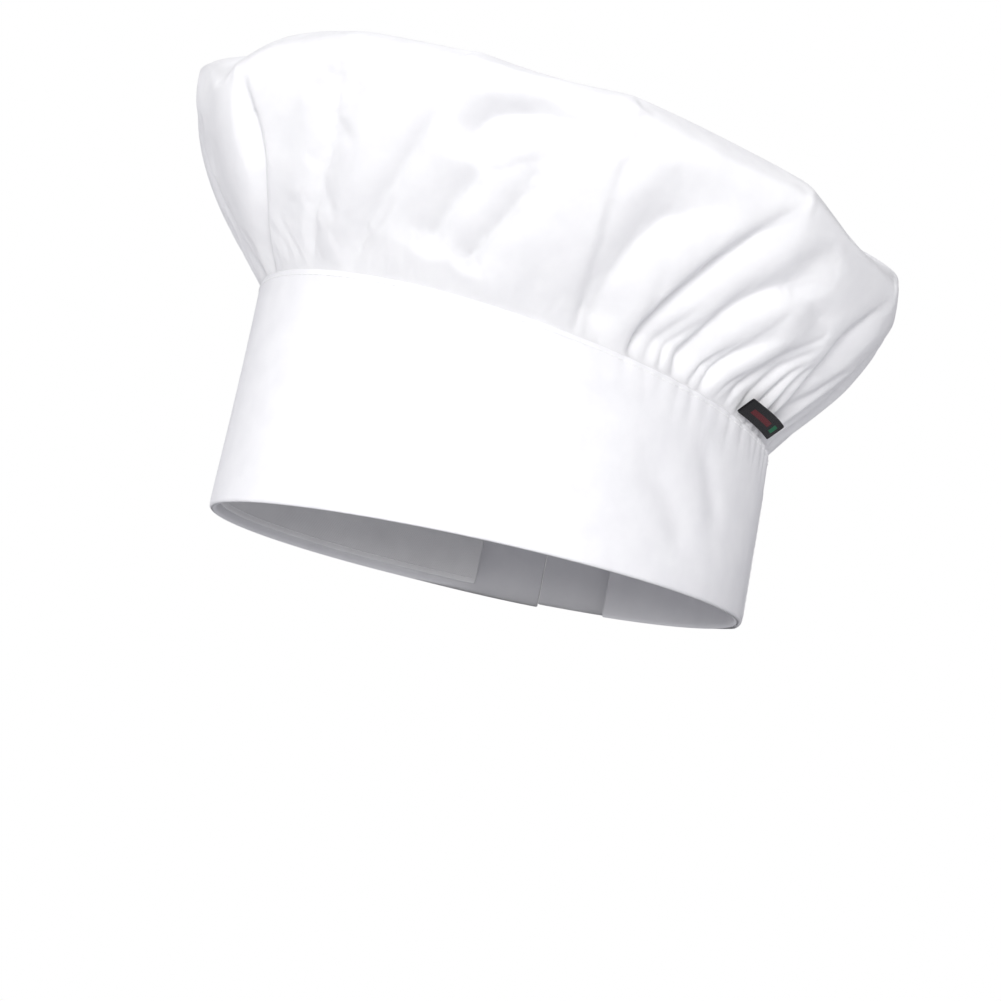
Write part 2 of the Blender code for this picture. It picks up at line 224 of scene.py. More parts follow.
def strip(name, angles, profile, material, body="hat", thickness=CLOTH, relief=None, levels=1):
    """Cloth swept round the hat. profile(angles) gives each row's depths and heights, as two arrays."""
    depths, heights = profile(angles)
    rows = len(depths)
    turn = np.broadcast_to(angles, (rows, len(angles)))
    depths = np.broadcast_to(depths, turn.shape)
    heights = np.broadcast_to(heights, turn.shape)
    if relief is not None:
        depths = depths + relief(turn, heights)
    points = band_place(turn, depths, heights).reshape(-1, 3)
    along = np.hypot(np.diff(depths, axis=0), np.diff(heights, axis=0))
    down = np.concatenate([np.zeros((1, len(angles))), np.cumsum(along, axis=0)])
    round_hat = rad(turn) * (HALF_WIDTH + HALF_LENGTH) / 2
    uv = np.stack([round_hat, down], axis=-1).reshape(-1, 2)
    obj = make_object(name, points, grid_faces(rows, len(angles)), material, body, uv)
    thicken(obj, thickness, levels)
    return obj


# A stitch's shape, as shares of the thread's radius.
STITCH_RINGS = 6
STITCH_SIDES = 6
STITCH_RISE = 0.35
STITCH_SINK = 0.25
STITCH_END_WIDTH = 0.45
STITCH_SWELL = 0.55


def stitch_row(name, points, normals, thread, body="hat", length=2.4, gap=0.5, radius=0.2):
    """Separate stitches along a route, sized in mm. Each is a short bar that dips in at both ends."""
    steps = np.linalg.norm(np.diff(points, axis=0), axis=1)
    travel = np.concatenate([[0.0], np.cumsum(steps)])
    pitch = (length + gap) * MM
    count = int(travel[-1] / pitch)
    shares = np.linspace(0.0, 1.0, STITCH_RINGS)
    rise = np.sin(shares * math.pi)
    sides = STITCH_SIDES
    corners = []
    faces = []
    for i in range(count):
        at = i * pitch + shares * length * MM
        line = np.stack([np.interp(at, travel, points[:, k]) for k in range(3)], axis=-1)
        out = np.stack([np.interp(at, travel, normals[:, k]) for k in range(3)], axis=-1)
        along = line[-1] - line[0]
        along = along / np.linalg.norm(along)
        base = len(corners)
        for j, share in enumerate(rise):
            side = np.cross(along, out[j])
            middle = line[j] + out[j] * (STITCH_RISE * share - STITCH_SINK) * radius * MM
            width = radius * MM * (STITCH_END_WIDTH + STITCH_SWELL * math.sqrt(share))
            for k in range(sides):
                turn = math.tau * k / sides
                corners.append(middle + width * (math.cos(turn) * side + math.sin(turn) * out[j]))
        for j in range(STITCH_RINGS - 1):
            for k in range(sides):
                beside = (k + 1) % sides
                a = base + j * sides
                faces.append((a + k, a + beside, a + sides + beside, a + sides + k))
        faces.append(tuple(base + k for k in reversed(range(sides))))
        last = base + (STITCH_RINGS - 1) * sides
        faces.append(tuple(last + k for k in range(sides)))
    return make_object(name, corners, faces, thread, body)


# ---- materials

# Colours.
CROWN_DARK = (0.88, 0.88, 0.895)
CROWN_LIGHT = (0.93, 0.93, 0.94)
BAND_DARK = (0.83, 0.83, 0.85)
BAND_LIGHT = (0.88, 0.88, 0.895)
SWEATBAND_DARK = (0.78, 0.78, 0.78)
SWEATBAND_LIGHT = (0.84, 0.84, 0.84)
SATIN_DARK = (0.84, 0.84, 0.85)
SATIN_LIGHT = (0.88, 0.88, 0.89)
THREAD_DARK = (0.84, 0.84, 0.85)
THREAD_LIGHT = (0.9, 0.9, 0.9)
LOOP_COLOUR = (0.82, 0.83, 0.84)
HOOK_COLOUR = (0.78, 0.79, 0.8)
RIBBON_COLOUR = (0.014, 0.014, 0.016)
RIBBON_GROUND = (0.012, 0.012, 0.014)
RIBBON_RED = (0.13, 0.014, 0.02)
RIBBON_GREEN = (0.01, 0.16, 0.07)
FLOOR_COLOUR = (0.86, 0.86, 0.87)

# Finish: noise scales are per metre.
FABRIC_SPECULAR = 0.25
SHEEN_ROUGHNESS = 0.5
CLOTH_SHEEN = 0.15
CLOTH_ROUGHNESS = 0.8
SMOOTHEST_YARN = 0.74
SLUB_ROUGHNESS = 0.12
BLOTCH_SCALE = 90.0
CREASE_SCALE = 55.0
SLUB_SCALE = 900.0
SLUB_HEIGHT = 1.2
WEAVE_DEPTH = 0.05 * MM
WEAVE_STRENGTH = 0.7
TWILL_YARN = 0.35

# The bars woven into the side label, as centre and half size, across the ribbon and then along it.
BAR_MIDDLE = 4.2 * MM
RED_HALF_WIDTH = 1.1 * MM
RED_MIDDLE = 13.5 * MM
RED_HALF_LENGTH = 8.5 * MM
GREEN_HALF_WIDTH = 1.6 * MM
GREEN_MIDDLE = 26.8 * MM
GREEN_HALF_LENGTH = 1.8 * MM


def new_material(name, colour, roughness, sheen=0.0):
    material = bpy.data.materials.new(name)
    material.use_nodes = True
    shader = material.node_tree.nodes["Principled BSDF"]
    shader.inputs["Base Color"].default_value = (*colour, 1.0)
    shader.inputs["Roughness"].default_value = roughness
    shader.inputs["Specular IOR Level"].default_value = FABRIC_SPECULAR
    shader.inputs["Sheen Weight"].default_value = sheen
    shader.inputs["Sheen Roughness"].default_value = SHEEN_ROUGHNESS
    return material, material.node_tree, shader


def math_node(tree, operation, *values):
    """A math node whose inputs are numbers or other nodes' outputs."""
    node = tree.nodes.new("ShaderNodeMath")
    node.operation = operation
    for socket, value in zip(node.inputs, values):
        if isinstance(value, float):
            socket.default_value = value
        else:
            tree.links.new(value, socket)
    return node.outputs[0]


def noise(tree, vector, scale, detail):
    node = tree.nodes.new("ShaderNodeTexNoise")
    node.inputs["Scale"].default_value = scale
    node.inputs["Detail"].default_value = detail
    tree.links.new(vector, node.inputs["Vector"])
    return node.outputs["Fac"]


def weave_height(tree, vector, pitch, twill):
    """The height of a weave whose yarns are this pitch apart, as a twill or a plain weave."""
    split = tree.nodes.new("ShaderNodeSeparateXYZ")
    tree.links.new(vector, split.inputs[0])
    scale = math.tau / pitch
    x = math_node(tree, "MULTIPLY", split.outputs["X"], scale)
    y = math_node(tree, "MULTIPLY", split.outputs["Y"], scale)
    if twill:
        rib = math_node(tree, "SINE", math_node(tree, "ADD", x, y))
        yarn = math_node(tree, "SINE", math_node(tree, "MULTIPLY", x, 2.0))
        return math_node(tree, "ADD", rib, math_node(tree, "MULTIPLY", yarn, TWILL_YARN))
    warp = math_node(tree, "SINE", x)
    weft = math_node(tree, "SINE", y)
    return math_node(tree, "MULTIPLY", warp, weft)


def add_bump(tree, shader, height, distance, strength=1.0, under=None):
    """Makes this height the shader's bump, over the one under it if there is one."""
    bump = tree.nodes.new("ShaderNodeBump")
    bump.inputs["Distance"].default_value = distance
    bump.inputs["Strength"].default_value = strength
    tree.links.new(height, bump.inputs["Height"])
    if under is not None:
        tree.links.new(under, bump.inputs["Normal"])
    tree.links.new(bump.outputs["Normal"], shader.inputs["Normal"])
    return bump.outputs["Normal"]


def tint(tree, shader, factor, dark, light):
    """Colours the shader from dark to light as the factor rises."""
    ramp = tree.nodes.new("ShaderNodeValToRGB")
    ramp.color_ramp.elements[0].position = 0.3
    ramp.color_ramp.elements[1].position = 0.7
    ramp.color_ramp.elements[0].color = (*dark, 1.0)
    ramp.color_ramp.elements[1].color = (*light, 1.0)
    tree.links.new(factor, ramp.inputs["Fac"])
    tree.links.new(ramp.outputs["Color"], shader.inputs["Base Color"])


def cloth_material(name, dark, light, pitch, twill=False, crease=0.3 * MM):
    """Woven cloth: yarns from the flat cut's own coordinates, slubs, and small creases."""
    material, tree, shader = new_material(name, light, CLOTH_ROUGHNESS, CLOTH_SHEEN)
    coordinates = tree.nodes.new("ShaderNodeTexCoord")
    flat = coordinates.outputs["UV"]
    space = coordinates.outputs["Object"]
    tint(tree, shader, noise(tree, space, BLOTCH_SCALE, 4.0), dark, light)
    soft = add_bump(tree, shader, noise(tree, space, CREASE_SCALE, 3.0), crease)
    weave = weave_height(tree, flat, pitch, twill)
    slub = noise(tree, flat, SLUB_SCALE, 2.0)
    height = math_node(tree, "ADD", weave, math_node(tree, "MULTIPLY", slub, SLUB_HEIGHT))
    add_bump(tree, shader, height, WEAVE_DEPTH, WEAVE_STRENGTH, soft)
    rough = math_node(tree, "MULTIPLY_ADD", slub, SLUB_ROUGHNESS, SMOOTHEST_YARN)
    tree.links.new(rough, shader.inputs["Roughness"])
    return material


def nylon_material(name, colour, scale, distance):
    """Hook or loop tape: a dense field of small tufts, with painted shade in the low places between them."""
    material, tree, shader = new_material(name, colour, roughness=0.6, sheen=0.4)
    coordinates = tree.nodes.new("ShaderNodeTexCoord")
    cells = tree.nodes.new("ShaderNodeTexVoronoi")
    cells.inputs["Scale"].default_value = scale
    tree.links.new(coordinates.outputs["UV"], cells.inputs["Vector"])
    fuzz = noise(tree, coordinates.outputs["Object"], scale * 1.3, 4.0)
    height = math_node(tree, "SUBTRACT", fuzz, cells.outputs["Distance"])
    add_bump(tree, shader, height, distance, 0.8)
    # Painted shade: the colour drops to 0.82 of itself where the tufts' height is low, between the tufts.
    dark = tuple(c * 0.82 for c in colour)
    tint(tree, shader, height, dark, colour)
    return material


def label_material(name):
    """Black damask ribbon with plain coloured bars along it and no lettering."""
    material, tree, shader = new_material(name, RIBBON_COLOUR, roughness=0.6)
    coordinates = tree.nodes.new("ShaderNodeTexCoord")
    flat = coordinates.outputs["UV"]
    split = tree.nodes.new("ShaderNodeSeparateXYZ")
    tree.links.new(flat, split.inputs[0])
    along, across = split.outputs["X"], split.outputs["Y"]

    def within(distance, middle, half_size):
        offset = math_node(tree, "ABSOLUTE", math_node(tree, "SUBTRACT", distance, middle))
        return math_node(tree, "LESS_THAN", offset, half_size)

    def bar(half_width, middle, half_length):
        wide = within(across, BAR_MIDDLE, half_width)
        long = within(along, middle, half_length)
        return math_node(tree, "MULTIPLY", wide, long)

    def mix(factor, under, colour):
        node = tree.nodes.new("ShaderNodeMix")
        node.data_type = "RGBA"
        tree.links.new(factor, node.inputs["Factor"])
        if isinstance(under, tuple):
            node.inputs["A"].default_value = (*under, 1.0)
        else:
            tree.links.new(under, node.inputs["A"])
        node.inputs["B"].default_value = (*colour, 1.0)
        return node.outputs["Result"]

    red = bar(RED_HALF_WIDTH, RED_MIDDLE, RED_HALF_LENGTH)
    green = bar(GREEN_HALF_WIDTH, GREEN_MIDDLE, GREEN_HALF_LENGTH)
    colour = mix(red, RIBBON_GROUND, RIBBON_RED)
    colour = mix(green, colour, RIBBON_GREEN)
    tree.links.new(colour, shader.inputs["Base Color"])
    height = weave_height(tree, flat, pitch=0.35 * MM, twill=True)
    add_bump(tree, shader, height, distance=0.06 * MM, strength=0.8)
    return material


# ---- crown

# The folds on the pictured side: depth and half width in mm, which side is creased sharp (-1, 1 or 0 for
# neither), then the line each follows, as (angle, height) with height 0 at the seam and 1 at the rim.
FOLDS = [
    (6.5, 6.0, 1, [(-24, 0.0), (-27, 0.15), (-29, 0.45), (-31, 0.7), (-34, 1.05)]),
    (9.0, 5.5, 1, [(-17, 0.0), (-8, 0.28), (-4, 0.5), (-4, 0.68), (-8, 1.1)]),
    (3.4, 7.0, -1, [(2, 0.0), (7, 0.25), (12, 0.48), (15, 0.78), (17, 1.15)]),
    (6.0, 8.0, -1, [(14, 0.0), (21, 0.28), (27, 0.48), (31, 0.68), (36, 0.9)]),
    (9.5, 6.5, 0, [(31, 0.12), (35, 0.3), (41, 0.55), (41, 0.86)]),
    (9.0, 6.5, 0, [(40, 0.1), (43, 0.24), (49, 0.5), (52, 0.88)]),
    (11.0, 7.0, 0, [(38, 0.55), (40, 0.8), (49, 0.9), (67, 0.9)]),
    (2.6, 5.0, -1, [(66, 0.0), (64, 0.35), (62, 0.62), (63, 1.1)]),
    (8.5, 7.5, 0, [(71, 0.0), (68, 0.25), (69, 0.4), (71, 0.6), (76, 0.72), (84, 0.85)]),
    (12.0, 8.5, -1, [(79, 0.0), (80, 0.25), (82, 0.42), (85, 0.6), (89, 0.8), (93, 0.98)]),
    (3.5, 2.4, 0, [(83, 0.0), (84, 0.15), (87, 0.36)]),
    (3.5, 2.4, 1, [(87, 0.0), (87, 0.15), (90, 0.33)]),
    (11.0, 7.0, 0, [(91, 0.0), (91, 0.15), (93, 0.42), (98, 0.62), (107, 0.73)]),
    (3.2, 2.2, -1, [(95, 0.0), (96, 0.14), (99, 0.32)]),
    (3.5, 7.0, 0, [(97, 0.62), (104, 0.63), (110, 0.6), (116, 0.52)]),
    (7.0, 5.5, 1, [(99, 0.0), (100, 0.2), (105, 0.45)]),
    (3.4, 2.2, 0, [(103, 0.0), (104, 0.12), (108, 0.3)]),
    (6.5, 4.0, 0, [(107, 0.0), (109, 0.25), (113, 0.5)]),
    (5.5, 3.0, 0, [(112, 0.0), (113, 0.3), (116, 0.5)]),
    (5.5, 3.0, 1, [(118, 0.0), (117, 0.25), (117, 0.45)]),
    (5.5, 3.0, 0, [(123, 0.0), (120, 0.25), (118, 0.5)]),
    (7.5, 9.0, -1, [(128, 0.0), (124, 0.3), (119, 0.6), (127, 1.0)]),
    (5.0, 5.0, 0, [(137, 0.0), (136, 0.35), (139, 0.8)]),
]
UNSEEN_FROM = 145.0
UNSEEN_TO = 320.0

# How every fold is drawn.
FOLD_POINTS = 40
FOLD_ROUNDING = 7  # points of the line that are averaged, to round its corners
FOLD_FADE_IN = 0.25  # share of its length over which a fold grows, unless it starts at the seam
FOLD_FADE_OUT = 0.45  # and over which it fades again
FOLD_SHARPNESS = 1.35  # 2 would be a round gutter, and 1 a crease
SHARP_SIDE_WIDTH = 0.3  # the sharp side's width, as a share of the other's
CROWN_SWELL = 35.0 * MM  # how much the crown's mean radius grows from the seam to the rim
FAR = 1.0  # further than anything on the hat

# The rim: corners in degrees, joined by nearly straight lines, and dips as (depth, middle, half width).
RIM_CORNERS = [-52, -31, -9, 16, 36, 62, 94, 127, 149, 171, 192, 214, 236, 257, 278, 292]
RIM_REACH = 1.012
RIM_STRAIGHTNESS = 0.85
RIM_SAG = 40.0 * MM
RIM_DIPS = [(9.0 * MM, -13.0, 9.0), (4.0 * MM, 118.0, 20.0)]

# How the folds' depth grows above the seam, and where it turns from outward to upward at the rim.
SEAM_DEPTH = 0.12
SEAM_FADE = 0.16
UPWARD_FROM = 0.85
UPWARD_OVER = 0.3

# The crown's cloth.
CUT_RADIUS = 220.0 * MM
SIDE_SHARE = 0.39  # how much of the cut's radius is in the side
SEWN_HEIGHTS = [-0.08, -0.04]
SEWN_DEPTH = 7.0 * MM
SLIT_DEPTH = 3.0 * MM
HELD_ROWS = 4


def unseen_folds():
    """Gathers for the side that is not pictured, like those beside the label."""
    dice = random.Random(11)
    folds = []
    angle = UNSEEN_FROM
    while angle < UNSEEN_TO:
        lean = dice.uniform(-7, 7)
        reach = dice.choice([0.4, 0.55, 0.7, 0.95, 1.1])
        depth = dice.uniform(5.5, 9.5) * (0.7 + 0.4 * reach)
        width = dice.uniform(4.0, 6.5)
        line = [
            (angle, 0.0),
            (angle + 0.2 * lean, 0.3 * reach),
            (angle + 0.6 * lean, 0.65 * reach),
            (angle + lean, reach),
        ]
        folds.append((depth, width, dice.choice([-1, 0, 1]), line))
        angle += dice.uniform(7.5, 12.5)
    return folds


def spread_points(line, count):
    """This many points along a line of (angle, height) points."""
    line = np.array(line, float)
    share = np.linspace(0, 1, count)
    knots = np.linspace(0, 1, len(line))
    return np.array([np.interp(share, knots, line[:, k]) for k in (0, 1)]).T


def round_corners(line):
    """The line with each point averaged with its neighbours."""
    kernel = np.ones(FOLD_ROUNDING) / FOLD_ROUNDING
    spare = FOLD_ROUNDING // 2
    padded = np.vstack([line[:1].repeat(spare, 0), line, line[-1:].repeat(spare, 0)])
    return np.array([np.convolve(padded[:, k], kernel, "valid") for k in (0, 1)]).T


def follow(line, angle, height, girth, rise):
    """How far each place is from the line, the nearest point's share along it, and the place's side of it.

    Girth is the radius in metres, and rise is how many metres there are in one unit of height.
    """
    nearest = np.full(angle.shape, FAR)
    along = np.zeros(angle.shape)
    side = np.zeros(angle.shape)
    for share, (line_angle, line_height) in zip(np.linspace(0, 1, len(line)), line):
        across = angle_from(angle, line_angle)
        distance = np.hypot(rad(across) * girth, (height - line_height) * rise)
        closer = distance < nearest
        nearest = np.where(closer, distance, nearest)
        along = np.where(closer, share, along)
        side = np.where(closer, np.sign(across), side)
    return nearest, along, side


def fold_relief(angle, height):
    """How far the folds pull the crown in, in metres, at each angle and height."""
    girth = (HALF_WIDTH + HALF_LENGTH) / 2 + CROWN_SWELL * np.sin(np.clip(height, 0, 1) * math.pi / 2)
    girth = girth * np.clip(2.4 - height, 0.1, 1.4) / 1.4  # smaller again over the top
    relief = np.zeros_like(angle)
    for depth, width, sharp_side, line in FOLDS + unseen_folds():
        smooth = round_corners(spread_points(line, FOLD_POINTS))
        nearest, along, side = follow(smooth, angle, height, girth, SIDE_LENGTH)
        starts_at_seam = line[0][1] == 0.0
        start = 1.0 if starts_at_seam else ease(along / FOLD_FADE_IN)
        taper = start * ease((1.0 - along) / FOLD_FADE_OUT)
        reach = np.where(side * sharp_side > 0, SHARP_SIDE_WIDTH * width, width) * MM
        relief -= depth * MM * taper * np.exp(-((nearest / reach) ** FOLD_SHARPNESS))
    return relief


def small_gathers(angle, height):
    """Fine gathers just above the seam, closer together at the sides and back than in front."""
    dice = random.Random(5)
    relief = np.zeros_like(angle)
    place = 0.0
    while place < 360.0:
        front = abs(angle_from(place, 0.0)) < 60
        across = angle_from(angle, place)
        half_width = dice.uniform(0.8, 1.5)
        depth = dice.uniform(0.3, 0.9) if front else dice.uniform(0.9, 2.2)
        reach = dice.uniform(0.08, 0.18) if front else dice.uniform(0.12, 0.38)
        lean = dice.uniform(-12, 12) * height
        ridge = np.exp(-(((across + lean) / half_width) ** 2)) * np.exp(-((height / reach) ** 1.5))
        relief -= depth * MM * ridge
        place += dice.uniform(4.5, 8.0) if front else dice.uniform(2.8, 4.6)
    return relief


def rim_place(angle):
    """The crown's outer edge: nearly straight between the corners that its pleats make."""
    corners = np.array(sorted(RIM_CORNERS + [RIM_CORNERS[0] + 360]), float)
    turn = (angle - corners[0]) % 360 + corners[0]
    after = np.clip(np.searchsorted(corners, turn, side="right"), 1, len(corners) - 1)
    low, high = corners[after - 1], corners[after]
    half = (high - low) / 2
    off = (turn - (low + high) / 2) / half
    flat = RIM_STRAIGHTNESS * (1 - np.cos(rad(half))) * (1 - off**2)
    x = RIM_HALF_WIDTH * (RIM_REACH - flat) * np.sin(rad(angle))
    y = -RIM_HALF_LENGTH * (RIM_REACH - flat) * np.cos(rad(angle))
    z = RIM_MEAN_HEIGHT + RIM_HEIGHT_SWING * np.cos(rad(angle))
    for depth, middle, half_width in RIM_DIPS:
        z = z - depth * np.exp(-((angle_from(angle, middle) / half_width) ** 2))
    return np.stack([x, y, z - RIM_SAG * flat], axis=-1)


def crown_place(angle, height):
    """The crown before it settles. Height is 0 at the seam, 1 at the rim and 2 at the middle of the top."""
    seam = band_place(angle, CROWN_LAYER + end_step(angle), band_top(angle))
    rim = rim_place(angle)
    side = np.clip(height, 0, 1)
    swing = np.sin(side * math.pi / 2)[..., None]
    point = seam + (rim - seam) * swing
    point[..., 2] = seam[..., 2] + (rim[..., 2] - seam[..., 2]) * side
    share = np.cos(np.clip(height - 1, 0, 1) * math.pi / 2)
    plain_x, plain_y = RIM_HALF_WIDTH * np.sin(rad(angle)), -RIM_HALF_LENGTH * np.cos(rad(angle))
    plain_z = RIM_MEAN_HEIGHT + RIM_HEIGHT_SWING * np.cos(rad(angle))
    plain = np.stack([plain_x, plain_y, plain_z], axis=-1)
    top = plain + (rim - plain) * (share**3)[..., None]
    top[..., :2] *= share[..., None]
    dome = DOME_HEIGHT * np.clip(1 - share**DOME_POWER, 0, 1) ** (1 / DOME_POWER)
    slack = TOP_SLACK * np.sin(math.pi * share) * np.sin(rad(2 * angle + 70)) * np.cos(rad(3 * angle))
    top[..., 2] = RIM_MEAN_HEIGHT + (top[..., 2] - RIM_MEAN_HEIGHT) * share + dome + slack
    point = np.where((height > 1)[..., None], top, point)
    relief = fold_relief(angle, height) + small_gathers(angle, height)
    relief = relief * np.clip(SEAM_DEPTH + height / SEAM_FADE, 0, 1)
    direction = outward(angle)
    upward = ease((height - UPWARD_FROM) / UPWARD_OVER)[..., None]
    direction = direction * (1 - upward) + np.array([0, 0, 1.0]) * upward
    return point + direction * relief[..., None]


def crown_rows():
    """Heights of the crown's rows, up the side and then over the top."""
    side = np.linspace(0, 1, SIDE_ROWS)
    top = 1 + np.linspace(0, 1 - TOP_HOLE, TOP_ROWS)[1:]
    return np.concatenate([side, top])


def ring_counts(rows):
    """How many points each of the crown's rows has: half as many each time they get too close together."""
    counts = []
    count = CROWN_COLUMNS
    fewest = 20
    for height in rows:
        share = math.cos(max(height - 1, 0.0) * math.pi / 2)
        too_close = count * 0.45 > CROWN_COLUMNS * share
        if too_close and count > fewest:
            count //= 2
        counts.append(count)
    return counts


def ring_faces(starts, counts):
    """Quads between neighbouring rings, with a triangle beside each where the count halves."""
    faces = []
    for row in range(len(counts) - 1):
        low, high = starts[row], starts[row + 1]
        outer, inner = counts[row], counts[row + 1]
        for i in range(inner):
            j = (i + 1) % inner
            if outer == inner:
                faces.append((low + i, low + j, high + j, high + i))
            else:
                faces.append((low + 2 * i, low + 2 * i + 1, high + i))
                faces.append((low + 2 * i + 1, low + (2 * i + 2) % outer, high + j, high + i))
    return faces


def sewn_edge(angles, share):
    """The crown's edge inside the band, which is turned up short where it crosses the slit."""
    in_slit = (angles > UNDER_END - 1) & (angles < OVER_END + 1)
    drop = np.where(in_slit, SLIT_DEPTH, SEWN_DEPTH) * share
    return band_place(angles, CROWN_LAYER + end_step(angles), band_top(angles) - drop)


def make_crown(material):
    rows = np.concatenate([SEWN_HEIGHTS, crown_rows()])
    counts = ring_counts(rows)
    starts = [0] + [int(n) for n in np.cumsum(counts)]
    points = []
    flat = []
    for height, count in zip(rows, counts):
        angles = np.linspace(0, 360, count, endpoint=False)
        if height < 0:
            ring = sewn_edge(angles, height / rows[0])
        else:
            ring = crown_place(angles, np.full(count, height))
        points.append(ring)
        radius = 1 - SIDE_SHARE * height if height <= 1 else (1 - SIDE_SHARE) * (2 - height)
        turn = np.stack([np.sin(rad(angles)), -np.cos(rad(angles))], axis=-1)
        flat.append(CUT_RADIUS * radius * turn)
    centre = points[-1].mean(axis=0)
    points = np.vstack(points + [centre])
    uv = np.vstack(flat + [[0.0, 0.0]])
    faces = ring_faces(starts, counts)
    for i in range(counts[-1]):
        faces.append((starts[-2] + i, starts[-2] + (i + 1) % counts[-1], len(points) - 1))
    crown = make_object("crown_cloth", points, faces, material, "hat", uv)
    held = crown.vertex_groups.new(name="seam")
    first_free = starts[HELD_ROWS]
    held.add(list(range(first_free)), 1.0, "REPLACE")
    held.add(list(range(first_free, starts[HELD_ROWS + 1])), 0.5, "REPLACE")
    settle(crown, frames=14, grow=0.014, pressure=1.5, cap=4.5 * MM)
    thicken(crown, CLOTH)
    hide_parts("crown")


def settle(obj, frames, grow, pressure, cap):
    """Lets cloth that is a little too big for its shape buckle and settle, no point by more than the cap.

    The group of points called seam stays held.
    """
    start = np.array([v.co for v in obj.data.vertices])
    cloth = obj.modifiers.new("settle", "CLOTH")
    settings = cloth.settings
    settings.quality = 6
    settings.mass = 0.15
    settings.tension_stiffness = 25
    settings.compression_stiffness = 25
    settings.shear_stiffness = 12
    settings.bending_stiffness = 1.2
    settings.tension_damping = 15
    settings.compression_damping = 15
    settings.shear_damping = 10
    settings.air_damping = 4
    settings.vertex_group_mass = "seam"
    settings.shrink_min = -grow
    settings.use_pressure = True
    settings.uniform_pressure_force = pressure
    settings.effector_weights.gravity = 0.0
    cloth.collision_settings.use_collision = False
    cloth.point_cache.frame_start = 1
    cloth.point_cache.frame_end = frames + 1
    scene = bpy.context.scene
    for number in range(1, frames + 1):
        scene.frame_set(number)
    settled = obj.evaluated_get(bpy.context.evaluated_depsgraph_get())
    ended = np.array([v.co for v in settled.data.vertices])
    scene.frame_set(1)
    obj.modifiers.remove(cloth)
    move = ended - start
    length = np.linalg.norm(move, axis=1, keepdims=True)
    never_zero = np.maximum(length, 1e-9)
    move = move * np.minimum(1.0, cap / never_zero)
    obj.data.vertices.foreach_set("co", (start + move).astype(np.float32).ravel())
    obj.data.update()


# ---- band

# The slack creases behind each ear: depth and half width in mm, and the line as (degrees, mm up).
EAR_CREASES = [
    (1.5, 6.0, [(83, 46), (93, 33), (99, 21), (100, 9)]),
    (1.3, 5.0, [(99, 57), (105, 45), (109, 34), (111, 22)]),
]
CREASE_POINTS = 25
CREASE_FADE = 0.3
PUCKERS_FROM = 78.0
PUCKERS_TO = 282.0
PUCKER_HALF_WIDTH = 1.15
BAND_RADIUS = 95.0 * MM
EDGE_FADE = 9.0 * MM  # the band is smooth at its lower edge, and has its full relief this far up

SEAM_DROP = 2.0 * MM  # from the band's upper edge down to the seam's stitches
SEAM_PROUD = 0.08 * MM
STITCH_PROUD = 0.05 * MM


def band_relief(angle, height):
    """The band's own softness: slight waves, puckers under the seam, and slack creases behind each ear."""
    dice = random.Random(3)
    below = band_top(angle) - height
    relief = 0.35 * MM * np.sin(rad(3 * angle + 40)) * np.sin(height / (26 * MM))
    relief += 0.25 * MM * np.sin(rad(7 * angle + 10)) * np.cos(height / (19 * MM))
    place = PUCKERS_FROM
    while place < PUCKERS_TO:
        across = angle_from(angle, place)
        reach = dice.uniform(7, 13) * MM
        depth = dice.uniform(0.35, 0.8) * MM
        lean = dice.uniform(-0.25, 0.35) * below / MM
        across = across + lean * 0.5
        pucker = np.exp(-((across / PUCKER_HALF_WIDTH) ** 2)) * np.exp(-((below / reach) ** 2))
        relief -= depth * pucker
        place += dice.uniform(3.6, 5.4)
    for side in (1, -1):
        for depth, width, line in EAR_CREASES:
            points = spread_points(line, CREASE_POINTS) * np.array([side, MM])
            nearest, along, _ = follow(points, angle, height, BAND_RADIUS, 1.0)
            taper = ease(along / CREASE_FADE) * ease((1 - along) / CREASE_FADE)
            relief -= depth * MM * taper * np.exp(-((nearest / (width * MM)) ** 2))
    return relief * ease(height / EDGE_FADE)


def band_profile(angles):
    """The band's cloth: a turned upper edge, the outer face, the fold at the bottom and the facing."""
    rows = 30
    fold_rows = 7
    top = band_top(angles)
    step = end_step(angles)
    down = np.linspace(1, 0, rows)[:, None]
    outer_heights = 1.5 * MM + (top - 2.0 * MM) * down
    outer_depths = np.full((rows, 1), OUTER_LAYER) + step
    turned_depths = np.array([[-1.0], [-0.75], [-0.45]]) * MM + step
    turned_heights = np.array([[-0.55], [-0.3], [-0.35]]) * MM + top
    fold_turn = np.linspace(0, math.pi, fold_rows)[1:-1]
    middle = (OUTER_LAYER + FACING_LAYER) / 2
    half = (OUTER_LAYER - FACING_LAYER) / 2
    fold_depths = (middle + half * np.cos(fold_turn))[:, None] + step
    fold_heights = (CLOTH / 2 + 1.1 * MM * (1 - np.sin(fold_turn)))[:, None] + 0 * top
    facing_depths = np.full((rows, 1), FACING_LAYER) + step
    depths = [turned_depths, outer_depths, fold_depths, facing_depths]
    heights = [turned_heights, outer_heights, fold_heights, outer_heights[::-1]]
    return np.concatenate(depths), np.concatenate(heights)


def make_band(material, thread):
    angles = np.linspace(OVER_END - 360, UNDER_END, 420)
    band = strip("band_cloth", angles, band_profile, material, relief=band_relief)
    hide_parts("band_cover", "band_stiffener")
    route = np.linspace(OVER_END - 358, UNDER_END - 2, 700)
    for name, depth, node, way in (
        ("crown_seam_needle_stitches", 0.0, "crown_seam_needle_thread", 1),
        ("crown_seam_bobbin_stitches", INNER_FACE, "crown_seam_bobbin_thread", -1),
    ):
        height = band_top(route) - SEAM_DROP
        relief = band_relief(route, height)
        points = band_place(route, depth + end_step(route) + relief + way * SEAM_PROUD, height)
        row = stitch_row(name, points, way * outward(route), thread)
        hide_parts(node)


# The sweatband reaches this many degrees to each side of the front.
SWEATBAND_END = 124
SWEATBAND_LAYER = -3.2 * MM
SWEATBAND_BULGE = 0.35 * MM
SWEATBAND_STITCHES = -3.65 * MM


def sweatband_waves(angles):
    return 0.12 * MM * np.sin(rad(angles * 11))


